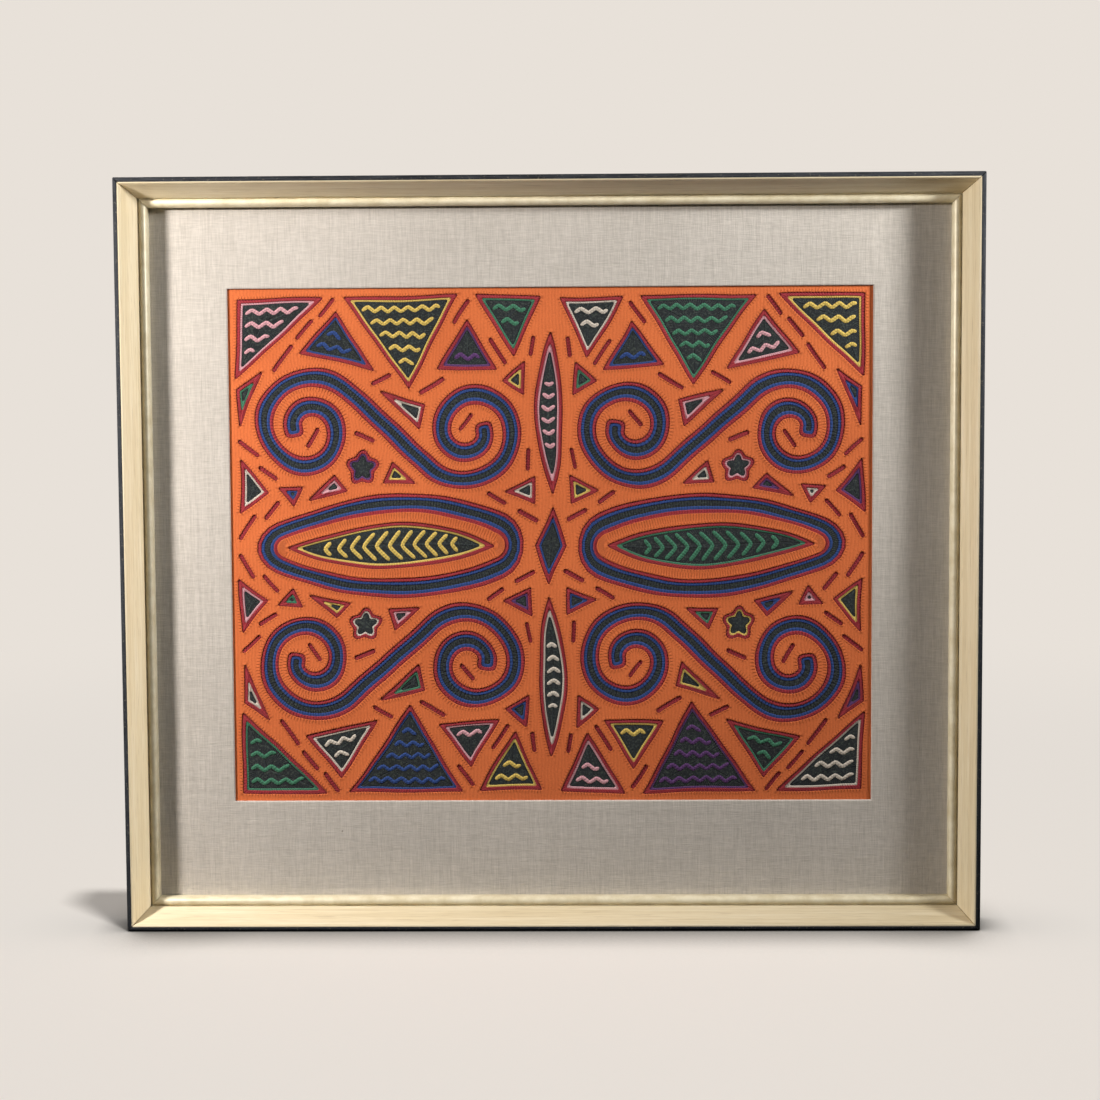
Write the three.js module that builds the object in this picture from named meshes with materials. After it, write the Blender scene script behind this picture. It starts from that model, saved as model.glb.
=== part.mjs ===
// A deep shadow-box frame with a linen mat and a mola, an applique cloth panel, behind the mat's window.
// Millimetres, +Z up. The frame stands on its bottom rail: X runs along the frame's width, the front
// faces -Y, and the origin is under the middle of the frame's depth, on the surface it stands on.
import * as THREE from "three";

// Driving dimensions
const FRAME_WIDTH = 580;
const FRAME_HEIGHT = 510;
const FRAME_DEPTH = 40;
const FIT_GAP = 0.3; // between any two pieces that touch

// The moulding's section, as insets from the frame's outer side and depths behind its front
const OUTER_ROUND = 2.6; // radius of the painted front corner
const PAINT_INSET = 4.0; // where the flat top of the front edge ends
const ARRIS_ROUND = 0.4; // the softened edge between that flat and the cove
const COVE_FOOT_INSET = 13.3;
const COVE_FOOT_DEPTH = 18;
const COVE_HOLLOW = 0.7; // how far the cove dips under the straight line from arris to foot
const LIP_THICKNESS = 1.2; // the lip at the cove's foot, which holds the slip in
const RABBET_INSET = 7;

// The slip, a beaded inner moulding that sits behind the lip
const SLIP_SIGHT_INSET = 19.4;
const QUIRK_INSET = 13; // a fine groove beside the bead
const QUIRK_WIDTH = 1;
const QUIRK_DEPTH = 1.3;
const BEAD_CREST_DEPTH = 18.8;
const BEAD_INNER_DEPTH = 22.7;

// The mat, a board wrapped in linen, with its window set a little above the middle
const MAT_FRONT_DEPTH = 28;
const MAT_THICKNESS = 1.5;
const MAT_EDGE_ROUND = 1.1; // the linen turns over the window's edge
const WINDOW_WIDTH = 437;
const WINDOW_HEIGHT = 351;
const WINDOW_BOTTOM = 84.8; // from the frame's foot

// The cloth panel and the board behind it
const CLOTH_THICKNESS = 1.6;
const CLOTH_MARGIN = 10; // of cloth hidden behind the mat on each side
const BOARD_THICKNESS = 3.2;

const ARC_STEPS = 8;

const WOOD = { color: 0xd9c08c, roughness: 0.45, metalness: 0 };
const PALE_GILT = { color: 0xdccb9c, roughness: 0.38, metalness: 0.1 };
const LINEN = { color: 0xcfc5b8, roughness: 0.95, metalness: 0 };
const COTTON = { color: 0xe0702f, roughness: 0.9, metalness: 0 };
const HARDBOARD = { color: 0x7a5a3c, roughness: 0.85, metalness: 0 };

// The wall left between a piece in the rabbet and the frame's outer side
const seatInset = RABBET_INSET + FIT_GAP;
const lipBackDepth = COVE_FOOT_DEPTH + LIP_THICKNESS;

// Points along a quarter of an ellipse, from an angle to another, in degrees
function arc(centreInset, centreDepth, radiusInset, radiusDepth, from, to) {
  return Array.from({ length: ARC_STEPS + 1 }, (_, i) => {
    const angle = THREE.MathUtils.degToRad(from + ((to - from) * i) / ARC_STEPS);
    return [centreInset + radiusInset * Math.cos(angle), centreDepth + radiusDepth * Math.sin(angle)];
  });
}

// The cove runs from the arris to its foot, dipping below the straight line in between
function cove() {
  const start = new THREE.Vector2(PAINT_INSET + ARRIS_ROUND, ARRIS_ROUND);
  const foot = new THREE.Vector2(COVE_FOOT_INSET, COVE_FOOT_DEPTH);
  const along = foot.clone().sub(start);
  const dip = new THREE.Vector2(-along.y, along.x).normalize().multiplyScalar(2 * COVE_HOLLOW);
  const middle = start.clone().lerp(foot, 0.5).add(dip);
  return new THREE.QuadraticBezierCurve(start, middle, foot).getPoints(ARC_STEPS).map((p) => [p.x, p.y]);
}

// The moulding's section: outer side, rounded front corner, flat, cove, lip and rabbet
function mouldingSection() {
  return [
    [0, FRAME_DEPTH],
    ...arc(OUTER_ROUND, OUTER_ROUND, OUTER_ROUND, OUTER_ROUND, 180, 270),
    [PAINT_INSET, 0],
    ...cove(),
    [COVE_FOOT_INSET, lipBackDepth],
    [RABBET_INSET, lipBackDepth],
    [RABBET_INSET, FRAME_DEPTH],
  ];
}

// The slip's section: a tongue behind the lip, a fine groove, and a bead that rolls down to the sight edge
function slipSection() {
  const tongueDepth = lipBackDepth + FIT_GAP;
  const back = MAT_FRONT_DEPTH - FIT_GAP;
  const beadStart = QUIRK_INSET + QUIRK_WIDTH;
  const crestInset = (beadStart + SLIP_SIGHT_INSET) / 2;
  const outerHalf = crestInset - beadStart;
  const innerHalf = SLIP_SIGHT_INSET - crestInset;
  const quirkFloor = tongueDepth + QUIRK_DEPTH;
  return [
    [seatInset, back],
    [seatInset, tongueDepth],
    [QUIRK_INSET, tongueDepth],
    [QUIRK_INSET, quirkFloor],
    ...arc(crestInset, quirkFloor, outerHalf, quirkFloor - BEAD_CREST_DEPTH, 180, 270),
    ...arc(crestInset, BEAD_INNER_DEPTH, innerHalf, BEAD_INNER_DEPTH - BEAD_CREST_DEPTH, 270, 360).slice(1),
    [SLIP_SIGHT_INSET, back],
  ];
}

// A bar along X with mitred ends: its outer side is at z = 0, and it grows inwards with z
function mitredBar(section, length) {
  const shape = new THREE.Shape(section.map(([inset, depth]) => new THREE.Vector2(inset, depth)));
  const geometry = new THREE.ExtrudeGeometry(shape, { depth: 1, bevelEnabled: false });
  const position = geometry.getAttribute("position");
  const endGap = FIT_GAP / Math.SQRT2;
  for (let i = 0; i < position.count; i++) {
    const inset = position.getX(i);
    const depth = position.getY(i);
    const end = position.getZ(i) > 0.5 ? -1 : 1;
    position.setXYZ(i, end * (length / 2 - inset - endGap), depth - FRAME_DEPTH / 2, inset);
  }
  geometry.computeVertexNormals();
  return geometry;
}

// Four mitred bars that make a frame, each turned about the depth axis so that its foot faces out
function mitredFrame(name, section, finish) {
  const group = new THREE.Group();
  const sides = [
    { side: "bottom", length: FRAME_WIDTH, x: 0, z: 0, turn: 0 },
    { side: "right", length: FRAME_HEIGHT, x: FRAME_WIDTH / 2, z: FRAME_HEIGHT / 2, turn: -Math.PI / 2 },
    { side: "top", length: FRAME_WIDTH, x: 0, z: FRAME_HEIGHT, turn: Math.PI },
    { side: "left", length: FRAME_HEIGHT, x: -FRAME_WIDTH / 2, z: FRAME_HEIGHT / 2, turn: Math.PI / 2 },
  ];
  for (const { side, length, x, z, turn } of sides) {
    const bar = new THREE.Mesh(mitredBar(section, length), new THREE.MeshStandardMaterial(finish));
    bar.name = `${name}_${side}`;
    bar.position.set(x, 0, z);
    bar.rotation.y = turn;
    group.add(bar);
  }
  return group;
}

// The outline of an upright rectangle about the frame's middle line, as the corners of a closed path
function rectangle(width, bottom, top) {
  return [
    new THREE.Vector2(-width / 2, bottom),
    new THREE.Vector2(width / 2, bottom),
    new THREE.Vector2(width / 2, top),
    new THREE.Vector2(-width / 2, top),
  ];
}

// A flat sheet that stands upright, its front face at a depth behind the frame's front
function uprightSheet(name, outline, frontDepth, thickness, finish) {
  const geometry = new THREE.ExtrudeGeometry(new THREE.Shape(outline), { depth: thickness, bevelEnabled: false });
  geometry.rotateX(Math.PI / 2); // the outline's own Y now runs along Z, and its front faces -Y
  geometry.translate(0, frontDepth + thickness - FRAME_DEPTH / 2, 0);
  const sheet = new THREE.Mesh(geometry, new THREE.MeshStandardMaterial(finish));
  sheet.name = name;
  return sheet;
}

// The linen mat is one board with a window whose front edge is rounded where the linen turns over it.
// Its section goes round the window as a ring, so the mat is a loft of rectangles from edge to edge.
function linenMat() {
  const halfWidth = FRAME_WIDTH / 2 - seatInset;
  const outerBottom = seatInset;
  const outerTop = FRAME_HEIGHT - seatInset;
  const windowTop = WINDOW_BOTTOM + WINDOW_HEIGHT;
  const y = (depth) => depth - FRAME_DEPTH / 2;
  const front = MAT_FRONT_DEPTH;
  const back = MAT_FRONT_DEPTH + MAT_THICKNESS;

  // Each ring is a rectangle at a depth; the window's rings open out towards the front face
  const ring = (half, bottom, top, depth) => [
    [-half, y(depth), bottom],
    [half, y(depth), bottom],
    [half, y(depth), top],
    [-half, y(depth), top],
  ];
  const windowRing = (spread, depth) =>
    ring(WINDOW_WIDTH / 2 + spread, WINDOW_BOTTOM - spread, windowTop + spread, depth);
  const rounding = arc(MAT_EDGE_ROUND, front + MAT_EDGE_ROUND, MAT_EDGE_ROUND, MAT_EDGE_ROUND, 270, 180);
  const rings = [
    ring(halfWidth, outerBottom, outerTop, front),
    ...rounding.map(([spread, depth]) => windowRing(spread, depth)),
    windowRing(0, back),
    ring(halfWidth, outerBottom, outerTop, back),
  ];
  const corners = rings.flat(2);
  const faces = [];
  rings.forEach((_, r) => {
    const next = (r + 1) % rings.length;
    for (let c = 0; c < 4; c++) {
      const [a, b] = [r * 4 + c, r * 4 + ((c + 1) % 4)];
      const [d, e] = [next * 4 + c, next * 4 + ((c + 1) % 4)];
      faces.push(a, b, e, a, e, d);
    }
  });
  const geometry = new THREE.BufferGeometry();
  geometry.setAttribute("position", new THREE.Float32BufferAttribute(corners, 3));
  geometry.setIndex(faces);
  geometry.computeVertexNormals();
  const mat = new THREE.Mesh(geometry, new THREE.MeshStandardMaterial(LINEN));
  mat.name = "linen_mat";
  return mat;
}

// The mola lies flat behind the mat's window, with a margin of cloth under the mat
function molaCloth() {
  const width = WINDOW_WIDTH + 2 * CLOTH_MARGIN;
  const bottom = WINDOW_BOTTOM - CLOTH_MARGIN;
  const top = WINDOW_BOTTOM + WINDOW_HEIGHT + CLOTH_MARGIN;
  const frontDepth = MAT_FRONT_DEPTH + MAT_THICKNESS + FIT_GAP;
  return uprightSheet("mola_cloth", rectangle(width, bottom, top), frontDepth, CLOTH_THICKNESS, COTTON);
}

// The plain board that closes the back of the frame and carries the cloth
function backingBoard() {
  const width = FRAME_WIDTH - 2 * seatInset;
  const frontDepth = MAT_FRONT_DEPTH + MAT_THICKNESS + CLOTH_THICKNESS + 2 * FIT_GAP;
  const outline = rectangle(width, seatInset, FRAME_HEIGHT - seatInset);
  return uprightSheet("backing_board", outline, frontDepth, BOARD_THICKNESS, HARDBOARD);
}

const panel = new THREE.Group();
panel.add(mitredFrame("rail", mouldingSection(), WOOD));
panel.add(mitredFrame("slip", slipSection(), PALE_GILT));
panel.add(linenMat());
panel.add(molaCloth());
panel.add(backingBoard());

export default panel;
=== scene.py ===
# %% [markdown]
# # A framed mola panel
#
# The object is an applique cloth panel, a mola, shown behind a linen mat in a deep wood frame. The
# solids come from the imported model, in metres, with the frame standing on z = 0 and its front
# facing -Y. This lesson dresses them: smooth wood, linen, and a cloth built up in real layers.

# %% Load the frame and keep its box
import math

import bpy
import numpy as np
from mathutils import Matrix, Vector
from mathutils.geometry import delaunay_2d_cdt


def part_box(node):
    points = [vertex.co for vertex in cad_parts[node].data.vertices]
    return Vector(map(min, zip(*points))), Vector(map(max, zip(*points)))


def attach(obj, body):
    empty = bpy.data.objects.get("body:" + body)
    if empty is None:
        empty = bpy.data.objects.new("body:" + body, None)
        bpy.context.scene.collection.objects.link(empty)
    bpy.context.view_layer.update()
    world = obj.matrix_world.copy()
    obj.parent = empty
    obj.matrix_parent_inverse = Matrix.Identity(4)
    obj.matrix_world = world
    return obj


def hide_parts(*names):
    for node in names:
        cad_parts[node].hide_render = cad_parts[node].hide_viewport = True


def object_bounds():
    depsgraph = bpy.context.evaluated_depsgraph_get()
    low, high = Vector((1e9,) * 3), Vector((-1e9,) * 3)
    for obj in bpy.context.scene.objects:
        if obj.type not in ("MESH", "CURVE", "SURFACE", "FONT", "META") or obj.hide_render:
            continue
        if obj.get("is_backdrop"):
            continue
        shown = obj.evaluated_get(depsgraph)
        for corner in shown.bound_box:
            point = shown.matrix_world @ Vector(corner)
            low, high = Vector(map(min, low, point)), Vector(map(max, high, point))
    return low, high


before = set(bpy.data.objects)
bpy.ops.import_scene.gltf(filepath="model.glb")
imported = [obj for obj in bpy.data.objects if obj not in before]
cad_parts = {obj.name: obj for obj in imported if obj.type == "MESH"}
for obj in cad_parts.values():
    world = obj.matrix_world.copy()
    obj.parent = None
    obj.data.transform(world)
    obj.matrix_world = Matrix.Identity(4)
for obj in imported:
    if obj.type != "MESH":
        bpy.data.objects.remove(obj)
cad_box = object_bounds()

MM = 0.001
print("solids to dress:", ", ".join(sorted(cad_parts)))

# %% [markdown]
# ## Small helpers
#
# Colours are written as the hex values that a screen shows, and one function turns them to the
# linear values that a shader wants. One more function adds a node to a material, sets it and wires
# it, and a few more do what several finishes share: streaks, specks and relief. So each finish
# below reads as a short list of what is on the surface.


# %% Helpers for colour, nodes and pieces
def colour(hex_code):
    """A screen colour such as "#d8b070" as linear RGBA."""
    channels = [int(hex_code[i : i + 2], 16) / 255 for i in (1, 3, 5)]
    return (*[c / 12.92 if c <= 0.04045 else ((c + 0.055) / 1.055) ** 2.4 for c in channels], 1.0)


def add_node(tree, kind, inputs=(), out=0, stops=(), **settings):
    """Adds a node, makes its settings, gives each input a value or a link, and returns an output.
    A colour ramp also takes its stops, each a position and a colour."""
    made = tree.nodes.new(f"ShaderNode{kind}")
    for name, value in settings.items():
        setattr(made, name, value)
    for k, (position, tone) in enumerate(stops):
        ramp = made.color_ramp.elements
        stop = ramp[k] if k < 2 else ramp.new(position)
        stop.position, stop.color = position, colour(tone)
    for socket, value in dict(inputs).items():
        if isinstance(value, bpy.types.NodeSocket):
            tree.links.new(value, made.inputs[socket])
        else:
            made.inputs[socket].default_value = value
    return made.outputs[out]


def new_material(name, roughness, specular=0.5, more=()):
    """A material with a plain shader, and its tree, shader and Object coordinates."""
    material = bpy.data.materials.new(name)
    material.use_nodes = True
    tree = material.node_tree
    shader = tree.nodes["Principled BSDF"]
    finish = {"Roughness": roughness, "Specular IOR Level": specular, **dict(more)}
    for socket, value in finish.items():
        shader.inputs[socket].default_value = value
    return material, tree, shader, add_node(tree, "TexCoord", out="Object")


def cover(tree, shader, base, height, strength, depth):
    """Gives a shader its colour, and a fine relief of some depth in metres."""
    tree.links.new(base, shader.inputs["Base Color"])
    relief = {"Height": height, "Strength": strength, "Distance": depth}
    tree.links.new(add_node(tree, "Bump", relief), shader.inputs["Normal"])


def streaks(tree, place, stretch, detail=2, **more):
    """Noise with its own scale along X, Y and Z, drawn out where the scale is small."""
    spread = add_node(tree, "Mapping", {"Vector": place, "Scale": stretch})
    return add_node(tree, "TexNoise", {"Vector": spread, "Scale": 1.0, "Detail": detail, **more})


def specks(tree, place, base, tone, scale, detail, low, high, amount, **more):
    """Spots of another tone laid over a base where noise rises from low to high."""
    noise = add_node(tree, "TexNoise", {"Vector": place, "Scale": scale, "Detail": detail, **more})
    spots = add_node(tree, "MapRange", {"Value": noise, 1: low, 2: high, 3: 0.0, 4: amount})
    tones = {"Factor": spots, 6: base, 7: colour(tone)}
    return add_node(tree, "Mix", tones, out=2, data_type="RGBA")


def select_only(obj):
    bpy.ops.object.select_all(action="DESELECT")
    obj.select_set(True)
    bpy.context.view_layer.objects.active = obj


def face_outwards(piece):
    """Turns all of a piece's faces outwards."""
    select_only(piece)
    bpy.ops.object.mode_set(mode="EDIT")
    bpy.ops.mesh.select_all(action="SELECT")
    bpy.ops.mesh.normals_make_consistent(inside=False)
    bpy.ops.object.mode_set(mode="OBJECT")


def smooth_copy(node, name):
    """A copy of a CAD node as one closed mesh with clean flat faces."""
    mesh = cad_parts[node].data.copy()
    mesh.name = name
    mesh.materials.clear()
    piece = bpy.data.objects.new(name, mesh)
    bpy.context.scene.collection.objects.link(piece)
    select_only(piece)
    bpy.ops.object.mode_set(mode="EDIT")
    bpy.ops.mesh.select_all(action="SELECT")
    bpy.ops.mesh.remove_doubles(threshold=1e-6)
    bpy.ops.mesh.dissolve_limited(angle_limit=math.radians(0.5))
    bpy.ops.object.mode_set(mode="OBJECT")
    face_outwards(piece)
    return piece


def make_mesh_piece(name, points, faces, materials, smooth=True):
    """A piece from points and faces."""
    mesh = bpy.data.meshes.new(name)
    mesh.from_pydata(np.asarray(points, float).tolist(), [], [list(map(int, f)) for f in faces])
    mesh.polygons.foreach_set("use_smooth", [smooth] * len(mesh.polygons))
    piece = bpy.data.objects.new(name, mesh)
    bpy.context.scene.collection.objects.link(piece)
    for material in materials:
        mesh.materials.append(material)
    return piece


# %% [markdown]
# ## Camera, floor and light
#
# The camera was fitted to the frame's corners: a long lens, a little right of the middle and
# slightly above it. The floor is a bowl of pale paper that sweeps up all round, so that no horizon
# shows from any side. A lamp on the left and one on the right give the recess its two side
# shadows; the left one is smaller, so its shadow is crisper. A large lamp behind lights the back,
# and a high lamp reaches only the floor, where it gives the panel's wedge of shadow.

# %% Camera
scene = bpy.context.scene
scene.view_settings.view_transform = "Standard"

camera_data = bpy.data.cameras.new("panel_camera")
camera_data.sensor_width = 36
camera_data.lens = 83.3
camera_data.clip_start = 0.05
camera = bpy.data.objects.new("panel_camera", camera_data)
scene.collection.objects.link(camera)
turn = (
    Matrix.Rotation(math.radians(1.18), 3, "Z")
    @ Matrix.Rotation(math.radians(-4.94), 3, "X")
    @ Matrix.Rotation(math.radians(0.34), 3, "Y")
)
look = Matrix((turn.col[0], turn.col[2], -turn.col[1])).transposed().to_4x4()
camera.matrix_world = Matrix.Translation((0.035, -1.720, 0.407)) @ look
scene.camera = camera
print("camera at", tuple(round(v, 3) for v in camera.location))

# %% Floor that sweeps up all round into a bowl of paper
FLOOR_RADIUS, SWEEP, WALL_TOP = 3.6, 1.0, 4.2
BOWL_SIDES = 96
PAPER = "#e8e1d9"
SHADE_SHARE = 0.44  # how bright the paper stays in the floor lamp's shadow


def bowl_mesh():
    """Points and faces of the bowl: rings round the floor's middle, the sweep and the wall."""
    centre = FLOOR_RADIUS - SWEEP
    bend = [math.radians(a) for a in range(-90, 1, 6)]
    profile = [(r, 0.0) for r in (0.5, 1.0, 1.5, 2.0)]
    profile += [(centre + SWEEP * math.cos(a), SWEEP + SWEEP * math.sin(a)) for a in bend]
    profile.append((FLOOR_RADIUS, WALL_TOP))
    around = [math.tau * k / BOWL_SIDES for k in range(BOWL_SIDES)]
    points = [(r * math.cos(a), r * math.sin(a), z) for r, z in profile for a in around]
    faces = [list(range(BOWL_SIDES))]
    for ring in range(len(profile) - 1):
        for k in range(BOWL_SIDES):
            a, b = ring * BOWL_SIDES + k, ring * BOWL_SIDES + (k + 1) % BOWL_SIDES
            faces.append([a, a + BOWL_SIDES, b + BOWL_SIDES, b])
    return points, faces


def seamless_paper():
    """Matt pale paper. Near the panel a lamp lights it, so that the panel throws a soft shadow,
    and further off it glows evenly by itself, so that no lamp shows as a pool of light. Where
    the panel stands on it, painted shade from ambient occlusion darkens its colour and glow."""
    material, tree, shader, place = new_material("seamless_paper", 0.95, 0.0)
    away = add_node(tree, "VectorMath", {0: place}, out="Value", operation="LENGTH")
    reach = {"Value": away, 1: 0.75, 2: 1.7, 3: 0.0, 4: 1.0}
    glow = add_node(tree, "MapRange", reach, interpolation_type="SMOOTHSTEP")
    # painted shade: the dark line where the panel meets the floor, from ambient occlusion,
    # which fades beyond the panel's ends
    x = add_node(tree, "SeparateXYZ", {0: place})
    aside = add_node(tree, "Math", {0: x}, operation="ABSOLUTE")
    depth = add_node(tree, "MapRange", {"Value": aside, 1: 0.275, 2: 0.315, 3: 2.8, 4: 0.5})
    painted_contact_shade = add_node(tree, "AmbientOcclusion", {"Distance": 0.085}, out="AO", samples=12)
    painted_contact_shade = add_node(tree, "Math", {0: painted_contact_shade, 1: depth}, operation="POWER")
    lit = add_node(tree, "Math", {0: 1.0, 1: glow}, operation="SUBTRACT")
    lit = add_node(tree, "Math", {0: lit, 1: painted_contact_shade}, operation="MULTIPLY")
    tones = {"Factor": lit, 6: colour("#000000"), 7: colour("#bcb7b1")}
    base = add_node(tree, "Mix", tones, out=2, data_type="RGBA")
    tree.links.new(base, shader.inputs["Base Color"])
    shade = add_node(tree, "Math", {0: painted_contact_shade, 1: SHADE_SHARE}, operation="MULTIPLY")
    strength = add_node(tree, "Mix", {"Factor": glow, 2: shade, 3: 1.0}, data_type="FLOAT")
    shader.inputs["Emission Color"].default_value = colour(PAPER)
    tree.links.new(strength, shader.inputs["Emission Strength"])
    return material


floor = make_mesh_piece("floor", *bowl_mesh(), [seamless_paper()])
# the paper's glow is for the camera alone: it doesn't fill the recess's shadows or dull the paint
floor.visible_diffuse = False
floor.visible_glossy = False
floor.visible_shadow = False
floor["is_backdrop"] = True
print("the paper's wall stands", FLOOR_RADIUS, "m away all round")


# %% Lights
def area_light(name, place, aim, size, power, tint):
    data = bpy.data.lights.new(name, "AREA")
    data.shape = "DISK"
    data.size = size
    data.energy = power
    data.color = colour(tint)[:3]
    lamp = bpy.data.objects.new(name, data)
    scene.collection.objects.link(lamp)
    lamp.location = place
    lamp.rotation_euler = (Vector(aim) - Vector(place)).to_track_quat("-Z", "Y").to_euler()
    lamp.visible_camera = False
    return lamp


# the two front lamps stand above the panel's top, so the moulding's upper slope stays in shade
LAMPS = (  # name, place, aim, size, power, tint
    ("key_left", (-0.642, -0.369, 0.583), (0.873, 0.0, -1.2), 0.06, 7.9, "#fff9f4"),
    ("fill_right", (0.794, -0.311, 0.691), (-0.6, 0.0, 1.3), 0.13, 12.1, "#fffefc"),
    ("back_light", (-0.6, 1.9, 1.2), (0.0, 0.0, 0.25), 0.9, 58, "#fffdfa"),
)
lamps = [area_light(*row) for row in LAMPS]

# these lamps would burn the paper out, so they light everything but the paper
off_paper = bpy.data.collections.new("all_but_the_paper")
off_paper.objects.link(floor)
off_paper.collection_objects[0].light_linking.link_state = "EXCLUDE"
for lamp in lamps:
    lamp.light_linking.receiver_collection = off_paper

# a high lamp for the paper alone throws the panel's soft shadow back and to the left
paper_only = bpy.data.collections.new("paper_only")
paper_only.objects.link(floor)
sun = bpy.data.lights.new("floor_lamp", "SUN")
sun.energy = 2.62
sun.angle = math.radians(3)
overhead = bpy.data.objects.new("floor_lamp", sun)
scene.collection.objects.link(overhead)
overhead.rotation_euler = Vector((-0.055, 0.088, -0.51)).to_track_quat("-Z", "Y").to_euler()
overhead.light_linking.receiver_collection = paper_only

world = bpy.data.worlds.new("pale_studio")
scene.world = world
world.use_nodes = True
surround = world.node_tree.nodes["Background"]
surround.inputs["Color"].default_value = colour("#dde4ee")
surround.inputs["Strength"].default_value = 0.012
print("four lights and a dim surround")

# %% [markdown]
# ## The moulding
#
# The frame is a blonde hardwood moulding, mitred at the corners, with black paint on its outer
# side and on the narrow front edge. The CAD solids already have the right section, so each rail
# is a merged copy of its solid with its hard edges eased by a bevel. The paint isn't a separate
# skin: the faces within 3.3 mm of the outer side get the paint, and the rest is wood. The back is
# left as raw wood, as framers leave it.

# %% Blonde hardwood and its grain
WOOD_TONES = ("#d5c49f", "#e3d4b2", "#eee3c9")
FRAME_HALF_WIDTH, FRAME_HEIGHT = 0.290, 0.510


def wood(name, along, tones, roughness, coat=0.0):
    """Wood with its grain along X or Z: fine lengthwise streaks, broader bands and short pores."""
    lacquer = {"Coat Weight": coat, "Coat Roughness": 0.3}
    material, tree, shader, place = new_material(name, roughness, more=lacquer)
    # a streak is about 0.8 mm wide and 40 mm long, and a band is five times as wide
    stretch = {"X": (25, 1250, 1250), "Z": (1250, 1250, 25)}[along]
    fine = streaks(tree, place, stretch, 3, Roughness=0.6)
    bands = streaks(tree, place, [scale / 5 for scale in stretch], 2, Distortion=0.4)
    mixed = add_node(tree, "Math", {0: fine, 1: bands}, operation="ADD")
    half = add_node(tree, "Math", {0: mixed, 1: 0.5}, operation="MULTIPLY")
    stops = ((0.32, tones[0]), (0.68, tones[2]), (0.5, tones[1]))
    grain = add_node(tree, "ValToRGB", {"Fac": half}, stops=stops)
    # pores are short dark dashes that show only in the darkest streaks
    drawn_out = add_node(tree, "Mapping", {"Vector": place, "Scale": stretch})
    base = specks(tree, drawn_out, grain, "#8a6a3e", 2.2, 1, 0.63, 0.73, 0.42)
    cover(tree, shader, base, fine, 0.25, 0.08 * MM)
    return material


# Blonde hardwood under a thin satin lacquer: planed and sanded, so the grain is fine streaks
blonde = {along: wood(f"blonde_hardwood_{along}", along, WOOD_TONES, 0.42, 0.15) for along in "XZ"}
# The same wood left raw behind: duller and a shade darker
raw = {
    along: wood(f"raw_hardwood_{along}", along, ("#a98858", "#bc9c69", "#ccae7c"), 0.8)
    for along in "XZ"
}
print("wood finishes:", [m.name for m in (*blonde.values(), *raw.values())])

# %% Black edge paint
def edge_paint(along):
    """Black paint brushed along a rail: thin lengthwise brush marks, and specks where it has been
    rubbed through to the wood."""
    material, tree, shader, place = new_material(f"black_edge_paint_{along}", 0.75, 0.18)
    # a brush mark is about 0.7 mm wide and 15 mm long
    stretch = {"X": (65, 1400, 1400), "Z": (1400, 1400, 65)}[along]
    marks = streaks(tree, place, stretch, 3)
    brushed = add_node(tree, "MapRange", {"Value": marks, 1: 0.30, 2: 0.70, 3: 0.0, 4: 1.0})
    tones = {"Factor": brushed, 6: colour("#1d1f23"), 7: colour("#3d4045")}
    tone = add_node(tree, "Mix", tones, out=2, data_type="RGBA")
    base = specks(tree, place, tone, "#8f8878", 620, 3, 0.60, 0.70, 0.5, Roughness=0.7)
    cover(tree, shader, base, brushed, 0.3, 0.1 * MM)
    return material


paint = {along: edge_paint(along) for along in "XZ"}

# %% The four rails
PAINT_EDGE = 3.3 * MM  # a narrow bright arris of wood is left beside the paint
# the direction from each side towards the frame's middle
INWARD = {"bottom": (0, 0, 1), "right": (-1, 0, 0), "top": (0, 0, -1), "left": (1, 0, 0)}


def outer_distance(p):
    """How far a point is from the frame's nearest outer side."""
    return min(FRAME_HALF_WIDTH - abs(p.x), p.z, FRAME_HEIGHT - p.z)


def ease_edges(piece, width, angle=40):
    """A small bevel on the hard edges, then smooth shading across the gentle ones."""
    bevel = piece.modifiers.new("eased", "BEVEL")
    bevel.width = width
    bevel.segments = 2
    bevel.limit_method = "ANGLE"
    bevel.angle_limit = math.radians(angle)
    bevel.harden_normals = False
    select_only(piece)
    bpy.ops.object.modifier_apply(modifier="eased")
    bpy.ops.object.shade_smooth_by_angle(angle=math.radians(angle))


def make_rail(side):
    node = f"rail_{side}"
    along = "X" if side in ("top", "bottom") else "Z"
    rail = smooth_copy(node, f"moulding_{side}")
    ease_edges(rail, 0.25 * MM)
    # a cut along the rail, where the paint ends
    half = FRAME_HEIGHT / 2 if along == "X" else FRAME_HALF_WIDTH
    edge = Vector((0, 0, FRAME_HEIGHT / 2)) - Vector(INWARD[side]) * (half - PAINT_EDGE)
    bpy.ops.object.mode_set(mode="EDIT")
    bpy.ops.mesh.select_all(action="SELECT")
    bpy.ops.mesh.bisect(plane_co=edge, plane_no=INWARD[side])
    bpy.ops.object.mode_set(mode="OBJECT")
    for material in (blonde[along], paint[along], raw[along]):
        rail.data.materials.append(material)
    for face in rail.data.polygons:
        behind = face.normal.y > 0.7
        painted = outer_distance(face.center) < PAINT_EDGE
        face.material_index = 2 if behind else 1 if painted else 0
    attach(rail, "root")
    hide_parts(node)
    return rail


rails = [make_rail(side) for side in INWARD]
print("rails:", [(r.name, len(r.data.polygons)) for r in rails])

# %% [markdown]
# ## The slip
#
# Inside the moulding sits a slip, a small beaded strip finished in pale gilt. It is one rounded
# bead that catches the light on its crest, with a fine groove beside it. The CAD section has the
# bead, so a merged copy is shaded smooth. Its finish is a thin pale gilt over a warm ground: it
# shines more than the bare wood and is rubbed to the ground here and there.

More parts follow.
